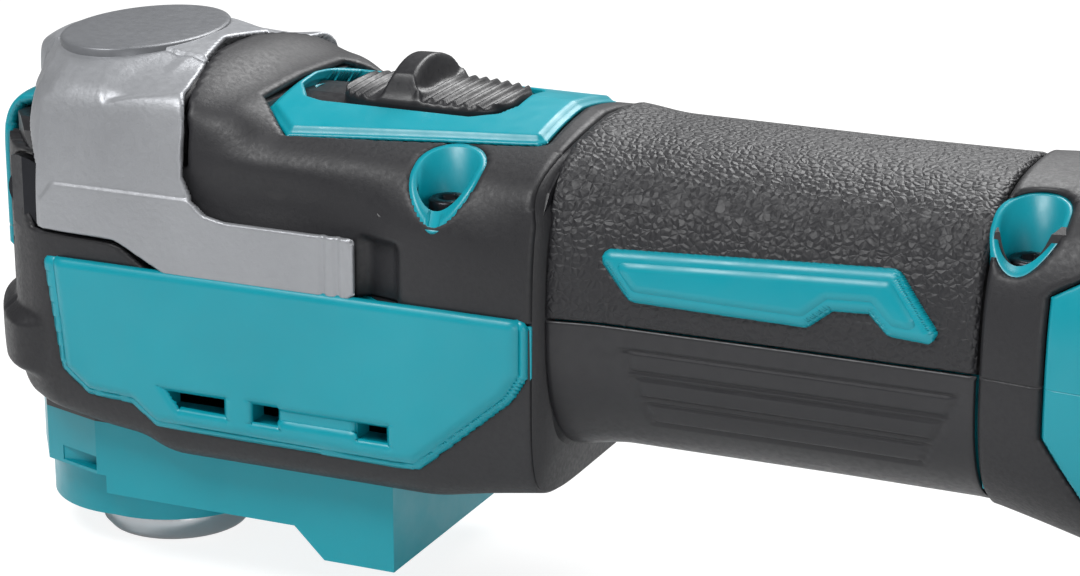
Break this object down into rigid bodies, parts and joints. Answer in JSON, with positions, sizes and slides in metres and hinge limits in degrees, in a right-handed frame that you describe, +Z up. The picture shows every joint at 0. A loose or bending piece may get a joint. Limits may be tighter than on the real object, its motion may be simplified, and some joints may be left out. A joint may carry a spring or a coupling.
{
  "type": "cordless oscillating multi-tool",
  "caption": "Battery oscillating multi-tool with a lever-operated star holder clamp, slide switch, speed dial and slide-on battery for cutting, sanding and scraping.",
  "frame": {"origin": "on the spindle axis, at the lower rim of the star tool holder, which with the battery's foot is what the tool stands on", "axes": "+X along the body to the battery, +Z up along the spindle, +Y to the tool's left side"},
  "size_m": [0.3264, 0.075, 0.113],
  "materials": {
    "teal_shell": "satin",
    "dark_shell": "satin",
    "soft_black": "matte",
    "cast_lever": "fine textured satin",
    "steel": "ground",
    "dark_steel": "oxide black",
    "copper": "enamelled wire",
    "magnet": "nickel",
    "clear": "clear",
    "board": "matt",
    "wire": "satin",
    "cell": "sleeved"
  },
  "bodies": {
    "casing": {"upper_housing": "dark_shell", "lower_housing": "teal_shell", "head_cover": "soft_black", "head_bumper": "soft_black", "front_panel": "teal_shell", "upper_grip": "soft_black", "lower_grip": "soft_black", "right_inlay": "teal_shell", "left_inlay": "teal_shell", "tail_cover": "soft_black", "right_tail_panel": "teal_shell", "left_tail_panel": "teal_shell", "housing_screws": "dark_steel", "switch_frame": "teal_shell", "switch_unit": "dark_shell", "gear_housing": "teal_shell", "gear_cover": "dark_shell", "gear_screws": "dark_steel", "spindle_lower_bearing": "steel", "spindle_upper_bearing": "steel", "motor_can": "dark_shell", "stator_core": "steel", "stator_coils": "copper", "motor_upper_bearing": "steel", "motor_lower_bearing": "steel", "rubber_dampers": "soft_black", "lamp_board": "board", "lamp_lens": "clear", "controller": "board", "wiring": "wire", "dial_bracket": "dark_shell", "battery_rail": "dark_shell", "terminal_block": "dark_shell", "terminal_blades": "steel"},
    "lever": {"lock_lever": "cast_lever", "cam_shaft": "steel"},
    "yoke": {"release_yoke": "steel"},
    "spindle": {"spindle": "steel", "tool_holder": "steel", "swing_arm": "steel", "clamp_spring": "steel"},
    "clamp": {"clamp_shaft": "steel", "clamp_claws": "steel"},
    "rotor": {"motor_shaft": "steel", "rotor_core": "steel", "rotor_magnet": "magnet", "cooling_fan": "dark_shell", "balance_weight": "steel", "eccentric_bearing": "steel"},
    "knob": {"switch_knob": "dark_shell"},
    "dial": {"speed_dial": "dark_shell"},
    "battery": {"battery_front_case": "dark_shell", "battery_rear_case": "dark_shell", "battery_cells": "cell", "cell_frames": "dark_shell", "battery_board": "board", "charge_gauge": "dark_shell", "latch_spring": "steel"},
    "latch": {"battery_latch": "dark_shell"}
  },
  "joints": [
    {"name": "lever_hinge", "type": "hinge", "parent": "casing", "child": "lever", "pos_m": [-0.012, 0, 0.072], "axis": [0, -1, 0], "range_deg": [0, 95]},
    {"name": "yoke_slide", "type": "slide", "parent": "casing", "child": "yoke", "axis": [0, 0, -1], "range_m": [0, 0.003]},
    {"name": "spindle_swing", "type": "hinge", "parent": "casing", "child": "spindle", "pos_m": [0, 0, 0], "axis": [0, 0, 1], "range_deg": [-1.8, 1.8]},
    {"name": "clamp_slide", "type": "slide", "parent": "spindle", "child": "clamp", "axis": [0, 0, -1], "range_m": [0, 0.003], "deforming": ["clamp_spring"]},
    {"name": "rotor_spin", "type": "hinge", "parent": "casing", "child": "rotor", "pos_m": [0.05, 0, 0.044], "axis": [0, 0, 1], "continuous": true},
    {"name": "switch_slide", "type": "slide", "parent": "casing", "child": "knob", "axis": [-1, 0, 0], "range_m": [0, 0.007]},
    {"name": "dial_turn", "type": "hinge", "parent": "casing", "child": "dial", "pos_m": [0.205, 0, 0.086], "axis": [0, 1, 0], "range_deg": [0, 270]},
    {"name": "battery_slide", "type": "slide", "parent": "casing", "child": "battery", "axis": [0, 0, 1], "range_m": [0, 0.095]},
    {"name": "latch_press", "type": "slide", "parent": "battery", "child": "latch", "axis": [1, 0, 0], "range_m": [0, 0.0035], "stiffness_N_per_m": 600, "springref_m": -0.003, "deforming": ["latch_spring"]}
  ],
  "couplings": [
    {"joint": "yoke_slide", "follows": "lever_hinge", "m_per_rad": 0.0018093},
    {"joint": "clamp_slide", "follows": "lever_hinge", "m_per_rad": 0.0018093}
  ]
}
